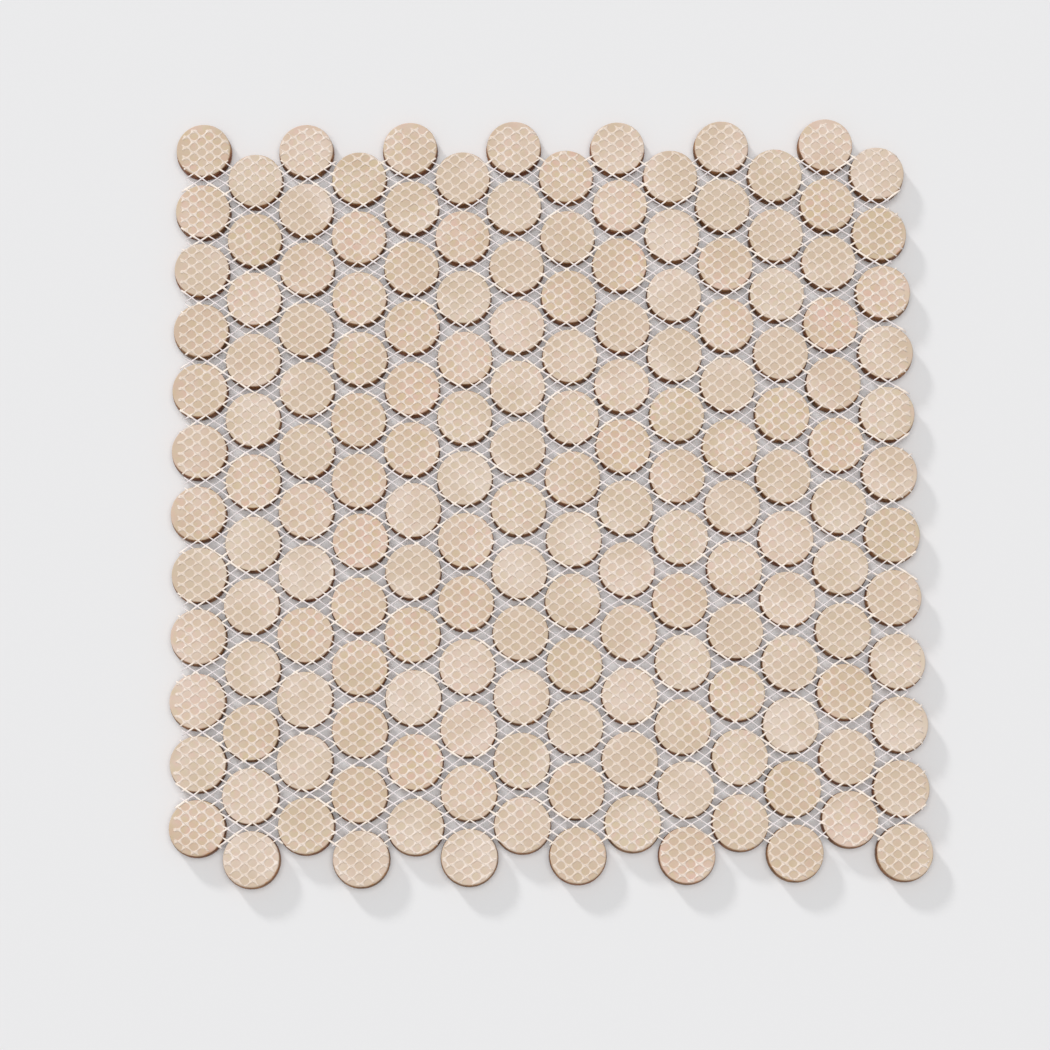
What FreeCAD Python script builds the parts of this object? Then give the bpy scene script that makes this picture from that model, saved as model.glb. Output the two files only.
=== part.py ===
import FreeCAD, Part
import math
import os
import random

# A sheet of round mosaic tiles held together by a diamond net glued to their backs.
# It lies with its glazed faces down, so the backs and the net are on top.
# Millimetres. X runs across the columns, Y along them and Z is up.
# The origin is the middle of the sheet, on the surface that it lies on.

# Tiles
tile_diameter = 23.0
tile_thickness = 6.0
side_draft = 0.5              # the back's radius is this much smaller than the face's
face_edge_radius = 0.9        # rounding of the glazed edge
back_edge_radius = 0.4        # rounding of the unglazed edge

# Layout
columns = 14
tiles_in_column = 12
joint_in_column = 2.3         # gap between two tiles of one column
diagonal_joint = 1.85         # gap between a tile and its neighbours in the next column
placing_error = 0.45          # how far a tile lies off its place along X and Y, at most
placing_seed = 23             # chooses which way each tile is off

# Net
cell_width = 6.5              # a diamond of the net, across X
cell_height = 4.45            # and along Y
thread_width = 0.5
thread_thickness = 0.22
shortest_thread = 3.0         # cuttings shorter than this have dropped off
border_reach = 2.0            # how far the net stands out past the line between border tiles
net_inset_left = 3.2          # from the tiles' outermost edge to the net's cut edge
net_inset_right = 2.4
net_inset_top = 2.6
net_inset_bottom = 0.8

# Sizes that follow
face_radius = tile_diameter / 2
back_radius = face_radius - side_draft
row_pitch = tile_diameter + joint_in_column
column_step = row_pitch / 2   # every second column stands this much lower
column_pitch = math.sqrt((tile_diameter + diagonal_joint) ** 2 - column_step**2)
net_thickness = 2 * thread_thickness
net_slope = math.atan2(cell_height, cell_width)
first_row, last_row = 0, tiles_in_column - 1


def pattern_point(column, row):
    """A tile's place in the pattern, counted from the left and from the top."""
    x = (column - (columns - 1) / 2) * column_pitch
    y = (last_row / 2 - row) * row_pitch
    raised = column_step / 2 if column % 2 == 0 else -column_step / 2
    return FreeCAD.Vector(x, y + raised, 0)


def placed_columns():
    """The tiles' centres, column by column, with the whole sheet centred on the origin."""
    draw = random.Random(placing_seed)
    placed = []
    for column in range(columns):
        centres = []
        for row in range(tiles_in_column):
            error_x = draw.uniform(-placing_error, placing_error)
            error_y = draw.uniform(-placing_error, placing_error)
            centres.append(pattern_point(column, row) + FreeCAD.Vector(error_x, error_y, 0))
        placed.append(centres)
    xs = [centre.x for centres in placed for centre in centres]
    ys = [centre.y for centres in placed for centre in centres]
    middle = FreeCAD.Vector((min(xs) + max(xs)) / 2, (min(ys) + max(ys)) / 2, 0)
    return [[centre - middle for centre in centres] for centres in placed]


def rim(disc, lowest):
    """The lowest or the highest round edge of a disc."""
    rims = [edge for edge in disc.Edges if isinstance(edge.Curve, Part.Circle)]
    pick = min if lowest else max
    return pick(rims, key=lambda edge: edge.BoundBox.ZMin)


def tile():
    """One pressed disc, glazed face down, with both of its edges rounded."""
    disc = Part.makeCone(face_radius, back_radius, tile_thickness)
    disc = disc.makeFillet(face_edge_radius, [rim(disc, lowest=True)])
    return disc.makeFillet(back_edge_radius, [rim(disc, lowest=False)])


def tile_column(centres):
    """The tiles of one column as separate solids."""
    pattern = tile()
    return Part.makeCompound([pattern.translated(centre) for centre in centres])


def border_points(row, outward):
    """Points just outside the lines that join the end tiles of the columns."""
    slope = math.atan2(column_step, column_pitch)
    lift = FreeCAD.Vector(0, outward * border_reach / math.cos(slope), 0)
    return [pattern_point(column, row) + lift for column in range(columns)]


def net_blank():
    """The space that the net is trimmed to: over the tiles and a band between border tiles."""
    upper, lower = border_points(first_row, 1), border_points(last_row, -1)
    beside = FreeCAD.Vector(face_radius, 0, 0)
    outline = [upper[0] - beside, *upper, upper[-1] + beside]
    outline += [lower[-1] + beside, *reversed(lower), lower[0] - beside]
    band = Part.Face(Part.makePolygon(outline + outline[:1]))
    blank = band.extrude(FreeCAD.Vector(0, 0, net_thickness))
    ends = [pattern_point(c, row) for c in range(columns) for row in (first_row, last_row)]
    blank = blank.fuse([Part.makeCylinder(back_radius, net_thickness, end) for end in ends])
    left = min(end.x for end in ends) - face_radius + net_inset_left
    right = max(end.x for end in ends) + face_radius - net_inset_right
    low = min(end.y for end in ends) - face_radius + net_inset_bottom
    high = max(end.y for end in ends) + face_radius - net_inset_top
    corner = FreeCAD.Vector(left, low, 0)
    window = Part.makeBox(right - left, high - low, net_thickness, corner)
    return blank.removeSplitter().common(window)


def thread(start, end):
    """A flat thread with square ends, lying on the plane of its two end points."""
    run = end - start
    bar = Part.makeBox(run.Length, thread_width, thread_thickness)
    bar.translate(FreeCAD.Vector(0, -thread_width / 2, 0))
    turn = math.degrees(math.atan2(run.y, run.x))
    bar.rotate(FreeCAD.Vector(0, 0, 0), FreeCAD.Vector(0, 0, 1), turn)
    return bar.translated(start)


def thread_layer(blank, slope, level):
    """All parallel threads of one slope, trimmed to the net's outline."""
    box = blank.BoundBox
    along = FreeCAD.Vector(math.cos(slope), math.sin(slope), 0) * box.DiagonalLength
    lines_each_way = math.ceil((box.XLength / cell_width + box.YLength / cell_height) / 2)
    threads = []
    for number in range(-lines_each_way, lines_each_way):
        middle = FreeCAD.Vector((number + 0.5) * cell_width, 0, net_thickness / 2)
        line = Part.makeLine(middle - along, middle + along)
        for run in line.common(blank).Edges:
            if run.Length < shortest_thread:
                continue
            start, end = (
                FreeCAD.Vector(vertex.X, vertex.Y, level) for vertex in run.Vertexes
            )
            threads.append(thread(start, end))
    return Part.makeCompound(threads)


def sheet():
    """Every piece of the sheet by name: columns of tiles, and the net's two thread layers."""
    shapes = {}
    for number, centres in enumerate(placed_columns(), start=1):
        shapes[f"tiles_column_{number:02d}"] = tile_column(centres)
    blank = net_blank()
    on_tiles = tile_thickness
    on_first_layer = on_tiles + thread_thickness
    shapes["net_threads_rising"] = thread_layer(blank, net_slope, on_tiles)
    shapes["net_threads_falling"] = thread_layer(blank, -net_slope, on_first_layer)
    return shapes


os.makedirs("parts", exist_ok=True)
for name, shape in sheet().items():
    shape.exportStep(f"parts/{name}.step")
    print(name, len(shape.Solids), "solids", round(shape.Volume, 1), "mm3")
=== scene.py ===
import math

import bpy
import numpy as np
from mathutils import Matrix, Vector


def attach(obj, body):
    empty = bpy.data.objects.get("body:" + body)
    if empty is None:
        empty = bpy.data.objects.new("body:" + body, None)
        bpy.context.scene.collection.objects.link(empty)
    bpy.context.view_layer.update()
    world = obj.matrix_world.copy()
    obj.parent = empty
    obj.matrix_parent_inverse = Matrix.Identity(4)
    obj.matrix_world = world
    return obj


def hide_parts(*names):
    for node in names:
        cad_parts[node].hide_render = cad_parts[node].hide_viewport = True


# Looks of a sheet of round mosaic tiles that lies with its netted backs up.
# Lengths are millimetres here, and become metres where Blender takes them.
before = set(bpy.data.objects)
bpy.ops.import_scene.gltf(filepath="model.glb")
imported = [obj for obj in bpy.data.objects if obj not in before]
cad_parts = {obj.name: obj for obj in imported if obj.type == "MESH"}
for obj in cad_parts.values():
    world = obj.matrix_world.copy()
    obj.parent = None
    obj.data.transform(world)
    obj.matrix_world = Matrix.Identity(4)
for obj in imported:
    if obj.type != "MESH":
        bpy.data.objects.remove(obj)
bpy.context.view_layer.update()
draw = np.random.default_rng(seed=11)

MM = 0.001

# Tiles, as in the CAD source
face_radius = 11.5
back_radius = 11.0
back_level = 6.0              # height of the backs
row_pitch = 25.3
rows = 12

# Net, as in the CAD source
half_cell = np.array([3.25, 2.225])   # from a cell's middle to its corners
border_reach = 2.0
inset_left, inset_right, inset_top, inset_bottom = 3.2, 2.4, 2.6, 0.8
shortest_thread = 3.0

# Torn sides of the net: between the outermost tiles it ends this much earlier
torn_left, torn_right = 2.0, 5.0
on_tile = 0.6                 # nearer to a tile's edge than this, it isn't torn

# Threads
thread_sides = 6
thread_half_widths = (0.21, 0.45, 0.19)   # on a tile, beside it and in the middle of a wide gap
widths_at = (0.0, 0.12, 0.9)  # where those are, from 0 on a tile to 1 where a thread hangs lowest
thread_half_height = 0.13
thread_level = 0.07           # its middle above the backs
knot_swell = 1.3              # how much wider a thread is where it crosses another
height_swell = 0.4            # the share of that swell that it gets in height
hop = 0.07                    # how far the upper threads rise to cross the lower ones
sag = 0.25                    # how far a thread hangs in the middle of a wide gap
sag_over = 3.0                # distance from the glue film's edge at which it hangs that far
knot_scatter = 0.17           # how far a knot lies off its place along X and Y, at most
longest_trim = 0.7            # a thread's end is cut back by this much at most
rings_per_knot = 2            # points of a thread for each of its knots
end_margin = 0.3              # nearer to an end than this share of their spacing, there is none
search_step = 0.05            # spacing in knots at which the net's outline is looked for

# Uneven stretch of the net, as waves across it
wave_count = 7
wave_length = (55.0, 170.0)
wave_height = 0.34

# Glue film on the backs, with a rounded window in each cell of the net
film_radius = 10.72
corner_steps = ((1, 0), (0, 1), (-1, 0), (0, -1))     # from a cell's middle to its corners
rays_on_side = 4              # points on each side of a cell
window_reach = (1.83, 1.62)   # from its middle to the sides, and upwards and downwards
window_power = 1.8            # 2 makes it an ellipse, and 1 a diamond
window_variation = 0.07       # how much a window's size differs from cell to cell
ray_variation = 0.6           # and from ray to ray, as a share of that
window_limits = (0.1, 0.93)   # share of the way to the thread that it takes at least and at most
film_levels = (-0.02, 0.13, 0.20)     # above the back: at the window, part way and at the thread
film_part_way = 0.3
buried = -0.05                # level of the film's points that are brought in to its edge
weld_steps = 1e4              # in a millimetre: points that round to the same one are joined


def tile_centres(node):
    """The middles of the tiles of one column, from the top down."""
    points = np.array([vertex.co for vertex in node.data.vertices])[:, :2] / MM
    top = points[:, 1].max() - face_radius
    row = np.rint((top - points[:, 1]) / row_pitch)
    each = [points[row == number] for number in range(rows)]
    return [(tile.min(0) + tile.max(0)) / 2 for tile in each]


column_names = sorted(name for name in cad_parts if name.startswith("tiles_column_"))
centres = np.array([tile_centres(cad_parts[name]) for name in column_names])
tiles = centres.reshape(-1, 2)


def from_nearest_tile(points):
    """Distance of each point from the middle of the nearest tile."""
    return np.linalg.norm(points[..., None, :] - tiles, axis=-1).min(-1)


def in_net(points):
    """Which points lie inside the net's outline."""
    x, y = points[..., 0], points[..., 1]
    low, high = tiles.min(0) - face_radius, tiles.max(0) + face_radius
    between = from_nearest_tile(points) > face_radius + on_tile
    in_box = x > low[0] + inset_left + torn_left * between
    in_box &= x < high[0] - inset_right - torn_right * between
    in_box &= (y > low[1] + inset_bottom) & (y < high[1] - inset_top)
    upper, lower = centres[:, 0], centres[:, -1]
    step = np.diff(centres[:2, 0], axis=0)[0]
    lift = border_reach * math.hypot(*step) / abs(step[0])
    in_band = y < np.interp(x, upper[:, 0], upper[:, 1]) + lift
    in_band &= y > np.interp(x, lower[:, 0], lower[:, 1]) - lift
    ends = np.concatenate([upper, lower])
    apart = np.linalg.norm(points[..., None, :] - ends, axis=-1)
    return in_box & (in_band | (apart.min(-1) < back_radius))


def stretched(points):
    """Where the points of an evenly woven net lie in this one."""
    moved = points.copy()
    for _ in range(wave_count):
        heading, push, phase = draw.uniform(0, 2 * math.pi, 3)
        length = draw.uniform(*wave_length)
        across = points @ np.array([math.cos(heading), math.sin(heading)])
        swing = wave_height * np.sin(across / length * 2 * math.pi + phase)
        moved += swing[..., None] * np.array([math.cos(push), math.sin(push)])
    return moved


# Points of the net by their place in its pattern. Where column and row add up to odd there is
# a knot, and where they add up to even there is the middle of a cell.
reach = np.ceil((np.abs(tiles).max(0) + face_radius) / half_cell).astype(int) + 2
lattice = np.stack(
    np.meshgrid(*(np.arange(-most, most + 1) for most in reach), indexing="ij"), axis=-1
)
net_points = stretched(lattice * half_cell)
net_points += draw.uniform(-knot_scatter, knot_scatter, net_points.shape)


def net_point(place):
    """Points of the net at whole places in its pattern."""
    index = place + reach
    return net_points[index[..., 0], index[..., 1]]


def along_thread(start, climb, steps):
    """Points of the thread through the knot at start, so many knots further on."""
    whole = np.floor(steps).astype(int)
    part = (steps - whole)[:, None]
    heading = np.array([1, climb])
    before = net_point(start + whole[:, None] * heading)
    after = net_point(start + (whole[:, None] + 1) * heading)
    return before * (1 - part) + after * part


def runs_in_net(start, climb, last):
    """(first, last) of each run of the thread that lies inside the net's outline, in knots."""
    steps = np.arange(0, last, search_step)
    inside = in_net(along_thread(start, climb, steps))
    edges = np.flatnonzero(np.diff(np.concatenate([[False], inside, [False]]).astype(int)))
    return [(steps[a], steps[b - 1]) for a, b in zip(edges[::2], edges[1::2])]


def whole_threads(climb):
    """The first knot of every thread that climbs (1) or falls (-1), and its length in knots."""
    across = np.arange(-reach[0], reach[0] + 1)
    for offset in range(-reach.sum(), reach.sum() + 1):
        on_lattice = across[np.abs(climb * across + offset) <= reach[1]]
        if offset % 2 == 1 and len(on_lattice) > 1:
            first = on_lattice[0]
            yield np.array([first, climb * first + offset]), len(on_lattice) - 1


def thread_paths(climb):
    """The path of every piece of thread inside the net, and which of its points are knots."""
    knot_gap = math.hypot(*half_cell)
    paths = []
    for start, last in whole_threads(climb):
        for begin, end in runs_in_net(start, climb, last):
            trims = draw.uniform(0, longest_trim, 2) / knot_gap
            begin, end = begin + trims[0], end - trims[1]
            if (end - begin) * knot_gap < shortest_thread:
                continue
            first_ring = math.ceil(begin * rings_per_knot + end_margin)
            last_ring = math.floor(end * rings_per_knot - end_margin)
            inner = np.arange(first_ring, last_ring + 1) / rings_per_knot
            steps = np.concatenate([[begin], inner, [end]])
            at_knot = np.isclose(steps, np.rint(steps))
            paths.append((along_thread(start, climb, steps), at_knot))
    return paths


def smooth_step(value):
    """From 0 to 1 with a soft start and a soft end."""
    value = np.clip(value, 0, 1)
    return value * value * (3 - 2 * value)


def make_object(name, points, faces, material):
    """A smooth-shaded piece from points in millimetres."""
    mesh = bpy.data.meshes.new(name)
    mesh.from_pydata((points * MM).tolist(), [], faces)
    mesh.materials.append(material)
    mesh.polygons.foreach_set("use_smooth", [True] * len(mesh.polygons))
    mesh.update()
    piece = bpy.data.objects.new(name, mesh)
    bpy.context.scene.collection.objects.link(piece)
    return piece


def thread_tube(path, at_knot, rise_at_knot):
    """Rings of points round one thread, and how far over a gap each point is."""
    tangent = np.gradient(path, axis=0)
    tangent /= np.linalg.norm(tangent, axis=1)[:, None]
    sideways = np.stack([-tangent[:, 1], tangent[:, 0]], axis=1)
    over_gap = smooth_step((from_nearest_tile(path) - film_radius) / sag_over)
    level = back_level + thread_level - sag * over_gap + rise_at_knot * at_knot
    swell = np.where(at_knot, knot_swell, 1.0)
    angles = (np.arange(thread_sides) + 0.5) * 2 * math.pi / thread_sides
    half_width = np.interp(over_gap, widths_at, thread_half_widths) * swell
    across = half_width[:, None] * np.cos(angles)
    rise = thread_half_height * (1 + height_swell * (swell[:, None] - 1)) * np.sin(angles)
    flat = path[:, None, :] + sideways[:, None, :] * across[..., None]
    points = np.concatenate([flat, (level[:, None] + rise)[..., None]], axis=-1)
    return points, np.repeat(over_gap, thread_sides)


def tube_faces(first, rings):
    """Faces of a tube with closed ends, by the number of its first point."""
    faces = []
    for ring in range(rings - 1):
        low = first + ring * thread_sides
        high = low + thread_sides
        for side in range(thread_sides):
            beside = (side + 1) % thread_sides
            faces.append((low + side, low + beside, high + beside, high + side))
    last = first + (rings - 1) * thread_sides
    faces.append(tuple(first + side for side in reversed(range(thread_sides))))
    faces.append(tuple(last + side for side in range(thread_sides)))
    return faces


def threads(name, climb, rise_at_knot, material):
    """All threads of one direction as one piece."""
    points, faces, gaps = [], [], []
    count = 0
    for path, at_knot in thread_paths(climb):
        tube, over_gap = thread_tube(path, at_knot, rise_at_knot)
        points.append(tube.reshape(-1, 3))
        gaps.append(over_gap)
        faces += tube_faces(count, len(path))
        count += len(path) * thread_sides
    piece = make_object(name, np.concatenate(points), faces, material)
    layer = piece.data.attributes.new("over_gap", "FLOAT", "POINT")
    layer.data.foreach_set("value", np.concatenate(gaps))
    return piece


def round_rim(corners):
    """Points round a cell's rim, by its corners."""
    corner_pairs = zip(corners, [*corners[1:], corners[0]])
    parts = np.arange(rays_on_side) / rays_on_side
    return [here * (1 - part) + there * part for here, there in corner_pairs for part in parts]


def window_shares():
    """For each ray from a cell's middle, the share of the way to the thread that is window."""
    rim = np.array(round_rim(np.array(corner_steps) * half_cell))
    parts = (np.abs(rim) / window_reach) ** window_power
    return parts.sum(1) ** (-1 / window_power)


shares = window_shares()
cells = lattice.reshape(-1, 2)
cells = cells[(cells.sum(1) % 2 == 0) & (np.abs(cells) < reach).all(1)]
cell_size = 1 + draw.uniform(-window_variation, window_variation, len(cells))
ray_wobble = draw.uniform(-ray_variation, ray_variation, (len(cells), len(shares)))
cell_wobble = 1 + ray_wobble * window_variation
cell_corners = [net_point(cells + step) for step in corner_steps]
cell_middles = np.mean(cell_corners, axis=0)
cell_rims = np.stack(round_rim(cell_corners), axis=1)


def tile_film(tile):
    """Points and faces of the glue on one tile's back."""
    near = np.linalg.norm(cell_middles - tile, axis=1) < film_radius + half_cell[0]
    rim, middle = cell_rims[near], cell_middles[near][:, None, :]
    window = np.clip(shares * cell_size[near][:, None] * cell_wobble[near], *window_limits)
    rings = []
    for part in (0, film_part_way, 1):
        share = window + (1 - window) * part
        rings.append(middle + (rim - middle) * share[..., None])
    flat = np.stack(rings, axis=1)
    from_tile = flat - tile
    distance = np.linalg.norm(from_tile, axis=-1)
    inside = distance < film_radius
    kept_to_rim = tile + from_tile / distance[..., None] * film_radius
    level = np.broadcast_to(np.array(film_levels)[None, :, None], inside.shape)
    level = np.where(inside, level, buried)
    flat = np.where(inside[..., None], flat, kept_to_rim)
    points = np.concatenate([flat, (back_level + level)[..., None]], axis=-1)
    netted = in_net(rings[2])
    index = np.arange(inside.size).reshape(inside.shape)
    following = np.roll(index, -1, axis=2)
    quads = np.stack([index[:, :-1], index[:, 1:], following[:, 1:], following[:, :-1]], axis=-1)
    after = np.roll(inside, -1, axis=2)
    shown = inside[:, :-1] | inside[:, 1:] | after[:, 1:] | after[:, :-1]
    shown &= (netted & np.roll(netted, -1, axis=1))[:, None, :]
    return points.reshape(-1, 3), quads[shown]


def welded(points, quads):
    """Equal points joined into one, and faces without repeated or unused points."""
    keys = np.rint(points * weld_steps).astype(np.int64)
    _, first, same = np.unique(keys, axis=0, return_index=True, return_inverse=True)
    quads = same.reshape(-1)[quads]
    used, numbers = np.unique(quads, return_inverse=True)
    faces = []
    for quad in numbers.reshape(quads.shape).tolist():
        face = [point for k, point in enumerate(quad) if point != quad[k - 1]]
        if len(face) > 2 and len(set(face)) == len(face):
            faces.append(face)
    return points[first[used]], faces


def film(name, own_tiles, material):
    """The glue on the backs of some tiles as one piece."""
    points, faces = [], []
    count = 0
    for tile in own_tiles:
        tile_points, tile_faces = welded(*tile_film(tile))
        points.append(tile_points)
        faces += [[count + point for point in face] for face in tile_faces]
        count += len(tile_points)
    return make_object(name, np.concatenate(points), faces, material)


def linear(red, green, blue):
    """A screen colour of 0 to 255 as Blender's linear colour, by the sRGB curve."""
    def one(value):
        value /= 255
        return value / 12.92 if value <= 0.04045 else ((value + 0.055) / 1.055) ** 2.4
    return one(red), one(green), one(blue), 1


# Colours of the unglazed backs: each tile's own lies between the first two
back_beige = linear(206, 189, 162)
back_rose = linear(220, 187, 171)
back_sand = linear(208, 188, 148)
back_pink = linear(219, 180, 165)
back_grain = linear(176, 152, 128)
back_pale = linear(225, 210, 197)
back_dull = linear(200, 179, 154)
palest_tile = 0.55            # share of the pale colour that all of one tile has, at most

# Colours of the glaze, and its uneven upper edge. Towards that edge the glaze really thins, and
# its lighter colour there is also a painted highlight of the lit upper side.
glaze_brown = linear(112, 72, 44)
glaze_red = linear(138, 78, 46)
glaze_olive = linear(112, 90, 48)
glaze_golden = linear(172, 120, 70)
# Light glaze of the upper side: partly glaze that thins, partly a painted highlight
glaze_thin_and_painted_highlight = linear(208, 156, 108)
most_olive_tile = 0.5         # share of the olive that all of one tile has, at most
edge_depths = (0.6, 0.1)      # below the back, at its lowest and at its highest
# Below that edge, where the glaze starts to thin out and to carry the painted highlight
thin_and_highlight_depths = (3.2, 0.8)      # below that edge, where it starts to thin out
seeds_apart = 31.7            # between the random values of one column of tiles and the next

# Colours of the threads, each without and with its stain
thread_in_glue = linear(231, 215, 202), linear(224, 207, 192)
thread_coated = linear(255, 243, 231), linear(250, 235, 221)
# Bare threads in the gaps: white with painted shade and a painted pink tint of light bounced off
# the brown glaze
thread_bare_painted_shade_and_bounce = linear(242, 233, 233), linear(230, 221, 222)

# Colours of the glue
film_full = linear(238, 224, 213), linear(232, 216, 203)
film_dull = linear(225, 206, 186)
film_thin = linear(222, 203, 185)


class Material:
    """A material's nodes, with its patterns laid out in millimetres."""

    # The Mix node's sockets that are colours
    first_colour, second_colour, mixed_colour = 6, 7, 2

    def __init__(self, name):
        self.material = bpy.data.materials.new(name)
        self.material.use_nodes = True
        self.nodes = self.material.node_tree.nodes
        self.links = self.material.node_tree.links
        self.shader = self.nodes["Principled BSDF"].inputs
        place = self.nodes.new("ShaderNodeTexCoord").outputs["Object"]
        scaled = self.nodes.new("ShaderNodeVectorMath")
        scaled.operation = "SCALE"
        scaled.inputs["Scale"].default_value = 1 / MM
        self.links.new(place, scaled.inputs[0])
        self.place = scaled.outputs[0]

    def feed(self, socket, value):
        """Link a node's output to the socket, or set the socket to a plain value."""
        if isinstance(value, bpy.types.NodeSocket):
            self.links.new(value, socket)
        else:
            socket.default_value = value

    def noise(self, size, seed=0.0, detail=1.0):
        """Noise of 0 to 1 with patches of about this size."""
        node = self.nodes.new("ShaderNodeTexNoise")
        node.noise_dimensions = "4D"
        node.inputs["W"].default_value = seed
        node.inputs["Scale"].default_value = 1 / size
        node.inputs["Detail"].default_value = detail
        self.links.new(self.place, node.inputs["Vector"])
        return node.outputs["Fac"]

    def span(self, value, low, high, to_low=0.0, to_high=1.0):
        """The value carried from one range to another, and held at its ends."""
        node = self.nodes.new("ShaderNodeMapRange")
        limits = (low, high, to_low, to_high)
        for name, limit in zip(("From Min", "From Max", "To Min", "To Max"), limits):
            self.feed(node.inputs[name], limit)
        self.links.new(value, node.inputs["Value"])
        return node.outputs["Result"]

    def patches(self, size, between, seed=0.0, detail=1.0, low=0.0, high=1.0):
        """Patches of about this size, from low to high as the noise goes between two values."""
        return self.span(self.noise(size, seed, detail), *between, low, high)

    def calculate(self, kind, first, second=0.0, third=0.0):
        """The result of a Math node."""
        node = self.nodes.new("ShaderNodeMath")
        node.operation = kind
        for socket, value in zip(node.inputs, (first, second, third)):
            self.feed(socket, value)
        return node.outputs[0]

    def mix(self, share, first, second):
        """The first colour, with this share of the second."""
        node = self.nodes.new("ShaderNodeMix")
        node.data_type = "RGBA"
        self.feed(node.inputs["Factor"], share)
        self.feed(node.inputs[self.first_colour], first)
        self.feed(node.inputs[self.second_colour], second)
        return node.outputs[self.mixed_colour]

    def axis(self, name):
        """How far along this axis a point lies."""
        node = self.nodes.new("ShaderNodeSeparateXYZ")
        self.links.new(self.place, node.inputs[0])
        return node.outputs[name]

    def bump(self, height, depth):
        """Relief of this depth in millimetres."""
        node = self.nodes.new("ShaderNodeBump")
        node.inputs["Distance"].default_value = depth * MM
        self.links.new(height, node.inputs["Height"])
        self.links.new(node.outputs["Normal"], self.shader["Normal"])


def dull_patches(made, high):
    """Where the backs and the glue on them are a little darker, over about a tile at a time."""
    return made.patches(size=20.0, seed=11.0, between=(0.42, 0.6), high=high)


def tile_chances(made, column):
    """Three random values of 0 to 1 for each tile of a column."""
    middle = float(centres[column, :, 1].mean())
    rows_below_zero = rows / 2 - middle / row_pitch
    row = made.calculate("MULTIPLY_ADD", made.axis("Y"), 1 / row_pitch, rows_below_zero)
    row = made.calculate("FLOOR", row)
    chance = made.nodes.new("ShaderNodeTexWhiteNoise")
    chance.noise_dimensions = "1D"
    made.feed(chance.inputs["W"], made.calculate("ADD", row, column * seeds_apart))
    parts = made.nodes.new("ShaderNodeSeparateColor")
    made.feed(parts.inputs[0], chance.outputs["Color"])
    return parts.outputs[0], parts.outputs[1], parts.outputs[2]


def back_colour(made, chance_red, chance_light):
    """Unglazed clay from beige to rose, with sandy, pink, pale and dull patches and a grain."""
    sandy = made.patches(size=3.6, seed=3.0, between=(0.35, 0.65), high=0.8)
    pink = made.patches(size=3.2, seed=13.0, between=(0.45, 0.7), high=0.8)
    grain = made.patches(size=0.45, seed=7.0, detail=3.0, between=(0.3, 0.7), high=0.1)
    pale = made.patches(size=7.0, seed=17.0, between=(0.4, 0.65), high=0.25)
    pale = made.calculate("MULTIPLY_ADD", chance_light, palest_tile, pale)
    colour = made.mix(chance_red, back_beige, back_rose)
    colour = made.mix(sandy, colour, back_sand)
    colour = made.mix(pink, colour, back_pink)
    colour = made.mix(grain, colour, back_grain)
    colour = made.mix(pale, colour, back_pale)
    return made.mix(dull_patches(made, high=0.55), colour, back_dull)


def glaze_colour(made, chance_olive, above_edge):
    """Brown glaze with red runs and golden patches, which thins out and carries a painted
    highlight towards its upper edge.
    """
    runs = made.patches(size=6.0, seed=1.0, detail=2.0, between=(0.35, 0.65))
    golden = made.patches(size=4.2, seed=19.0, between=(0.46, 0.66), high=0.7)
    olive = made.calculate("MULTIPLY", chance_olive, most_olive_tile)
    deepest, least_deep = thin_and_highlight_depths
    thin_and_highlight_from = made.patches(
        size=2.4, seed=8.0, between=(0.38, 0.62), low=-deepest, high=-least_deep
    )
    # Lighter towards the upper edge: glaze that thins, and a painted highlight of the lit upper
    # side
    thin_and_highlight = made.span(above_edge, low=thin_and_highlight_from, high=0.0, to_high=0.9)
    colour = made.mix(runs, glaze_brown, glaze_red)
    colour = made.mix(olive, colour, glaze_olive)
    colour = made.mix(golden, colour, glaze_golden)
    return made.mix(thin_and_highlight, colour, glaze_thin_and_painted_highlight)


def tile_material(column):
    """Unglazed beige back and glossy brown glaze, each tile a little different."""
    made = Material(f"tile_{column + 1:02d}")
    height = made.axis("Z")
    chance_red, chance_light, chance_olive = tile_chances(made, column)
    lowest, highest = (back_level - depth for depth in edge_depths)
    edge = made.patches(
        size=2.2, seed=5.0, detail=2.0, between=(0.35, 0.65), low=lowest, high=highest
    )
    above_edge = made.calculate("SUBTRACT", height, edge)
    is_back = made.span(above_edge, low=-0.08, high=0.03)
    back = back_colour(made, chance_red, chance_light)
    glaze = glaze_colour(made, chance_olive, above_edge)
    made.feed(made.shader["Base Color"], made.mix(is_back, glaze, back))
    glaze_roughness = made.span(height, low=1.0, high=2.9, to_low=0.22, to_high=0.55)
    roughness = made.span(is_back, low=0.0, high=1.0, to_low=glaze_roughness, to_high=0.82)
    made.feed(made.shader["Roughness"], roughness)
    made.shader["Specular IOR Level"].default_value = 0.1
    made.bump(made.noise(size=0.6, seed=2.0, detail=3.0), depth=0.02)
    return made.material


def net_material():
    """Threads, beige under glue on the backs, cream beside the tiles, and white in the gaps with
    painted shade and painted pink bounce light.
    """
    made = Material("net_threads")
    over_gap = made.nodes.new("ShaderNodeAttribute")
    over_gap.attribute_name = "over_gap"
    off_tile = made.span(over_gap.outputs["Fac"], low=0.0, high=0.08)
    in_gap = made.span(over_gap.outputs["Fac"], low=0.2, high=0.5)
    stain = made.patches(size=2.5, detail=2.0, between=(0.35, 0.65))
    colour = made.mix(
        off_tile, made.mix(stain, *thread_in_glue), made.mix(stain, *thread_coated)
    )
    # In the gaps the bare colour, with its painted shade and painted bounce light
    colour = made.mix(in_gap, colour, made.mix(stain, *thread_bare_painted_shade_and_bounce))
    made.feed(made.shader["Base Color"], colour)
    roughness = made.patches(
        size=0.8, seed=4.0, detail=2.0, between=(0.3, 0.7), low=0.45, high=0.65
    )
    made.feed(made.shader["Roughness"], roughness)
    made.bump(made.noise(size=0.25, seed=6.0, detail=2.0), depth=0.03)
    return made.material


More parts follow.
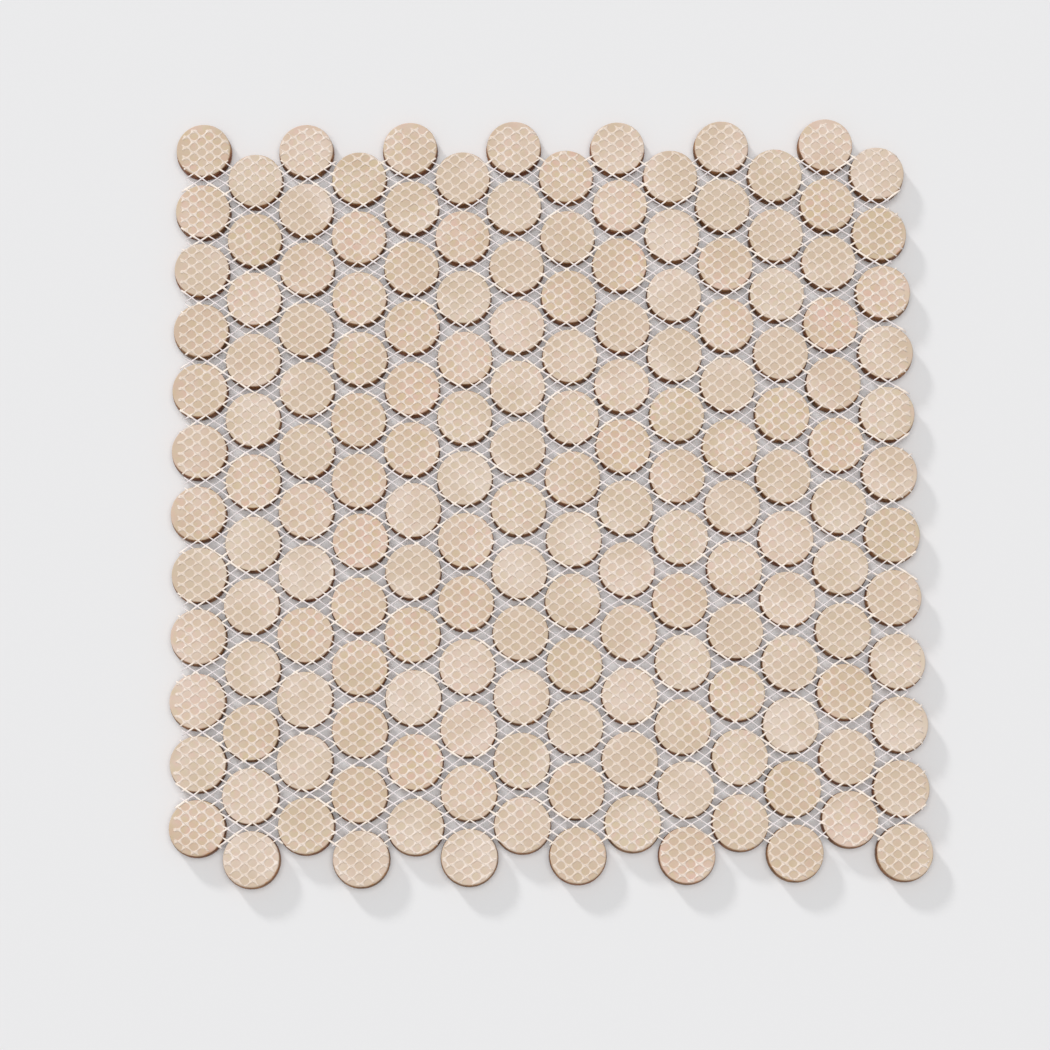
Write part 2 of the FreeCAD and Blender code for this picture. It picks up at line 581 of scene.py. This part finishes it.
def film_material():
    """Dried glue, darker where it thins out at the windows."""
    made = Material("glue_film")
    thick = made.span(made.axis("Z"), low=back_level - 0.01, high=back_level + 0.03)
    stain = made.patches(size=4.0, detail=2.0, between=(0.35, 0.65))
    full = made.mix(dull_patches(made, high=0.8), made.mix(stain, *film_full), film_dull)
    made.feed(made.shader["Base Color"], made.mix(thick, film_thin, full))
    roughness = made.patches(
        size=1.0, seed=4.0, detail=2.0, between=(0.3, 0.7), low=0.35, high=0.6
    )
    made.feed(made.shader["Roughness"], roughness)
    made.bump(made.noise(size=0.5, seed=6.0, detail=2.0), depth=0.02)
    return made.material


for column, name in enumerate(column_names):
    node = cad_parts[name]
    node.data.materials.clear()
    node.data.materials.append(tile_material(column))

thread_look = net_material()
rising = threads("net_rising", 1, 0.0, thread_look)
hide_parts("net_threads_rising")
falling = threads("net_falling", -1, hop, thread_look)
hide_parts("net_threads_falling")

film_look = film_material()
half = len(column_names) // 2
left_film = film("glue_film_left", centres[:half].reshape(-1, 2), film_look)
right_film = film("glue_film_right", centres[half:].reshape(-1, 2), film_look)
for piece in (rising, falling, left_film, right_film):
    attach(piece, "root")

# Floor
floor_half = 30.0             # metres
floor_colour = linear(233, 233, 234)
floor_roughness = 0.9
floor_gloss = 0.2
floor_corners = [(-1, -1), (1, -1), (1, 1), (-1, 1)]

floor_mesh = bpy.data.meshes.new("floor")
floor_mesh.from_pydata(
    [(x * floor_half, y * floor_half, 0) for x, y in floor_corners], [], [(0, 1, 2, 3)]
)
floor = bpy.data.objects.new("floor", floor_mesh)
bpy.context.scene.collection.objects.link(floor)
floor_look = bpy.data.materials.new("floor")
floor_look.use_nodes = True
floor_shader = floor_look.node_tree.nodes["Principled BSDF"].inputs
floor_shader["Base Color"].default_value = floor_colour
floor_shader["Roughness"].default_value = floor_roughness
floor_shader["Specular IOR Level"].default_value = floor_gloss
floor_mesh.materials.append(floor_look)

# Light: a weak even sky, a wide soft light from above and a small one low at the upper left
sky_strength = 0.25
seen_sky = linear(228, 228, 229)
overhead_energy = 1.9
overhead_angle = 50.0         # degrees across
overhead_from = (0.0, 0.0, 1.0)
key_energy = 1.36
key_angle = 7.0
key_from = (-19.0, 27.0, 12.7)

world = bpy.data.worlds.new("studio")
bpy.context.scene.world = world
world.use_nodes = True
sky_nodes, sky_links = world.node_tree.nodes, world.node_tree.links
lit_by = sky_nodes["Background"]
lit_by.inputs["Color"].default_value = (1, 1, 1, 1)
lit_by.inputs["Strength"].default_value = sky_strength
seen_as = sky_nodes.new("ShaderNodeBackground")
seen_as.inputs["Color"].default_value = seen_sky
chooser = sky_nodes.new("ShaderNodeMixShader")
ray = sky_nodes.new("ShaderNodeLightPath")
seen = ray.outputs["Is Camera Ray"]
for kind in ("Is Glossy Ray", "Is Transmission Ray"):
    either = sky_nodes.new("ShaderNodeMath")
    either.operation = "MAXIMUM"
    sky_links.new(seen, either.inputs[0])
    sky_links.new(ray.outputs[kind], either.inputs[1])
    seen = either.outputs[0]
sky_links.new(seen, chooser.inputs[0])
sky_links.new(lit_by.outputs[0], chooser.inputs[1])
sky_links.new(seen_as.outputs[0], chooser.inputs[2])
sky_links.new(chooser.outputs[0], sky_nodes["World Output"].inputs["Surface"])


def sun(name, energy, angle, comes_from):
    """A light so far away that it is the same everywhere."""
    data = bpy.data.lights.new(name, "SUN")
    data.energy = energy
    data.angle = math.radians(angle)
    light = bpy.data.objects.new(name, data)
    light.rotation_euler = (-Vector(comes_from)).to_track_quat("-Z", "Y").to_euler()
    bpy.context.scene.collection.objects.link(light)


sun("overhead", overhead_energy, overhead_angle, overhead_from)
sun("key", key_energy, key_angle, key_from)

# Camera, with the turns in degrees that bring the world's axes to its own, the last one first
sensor_width = 36.0
lens = 96.0
farthest_seen = 20.0          # metres
camera_place = (-22.06, -230.49, 1108.38)
world_turns = (("Z", 0.665), ("Y", 0.696), ("X", -11.158))

camera_data = bpy.data.cameras.new("camera")
camera_data.sensor_width = sensor_width
camera_data.lens = lens
camera_data.clip_end = farthest_seen
camera = bpy.data.objects.new("camera", camera_data)
to_camera = Matrix.Identity(3)
for axis, angle in world_turns:
    to_camera = to_camera @ Matrix.Rotation(math.radians(angle), 3, axis)
place = Matrix.Translation(Vector(camera_place) * MM)
camera.matrix_world = place @ to_camera.transposed().to_4x4()
bpy.context.scene.collection.objects.link(camera)
bpy.context.scene.camera = camera

bpy.context.scene.view_settings.view_transform = "Standard"
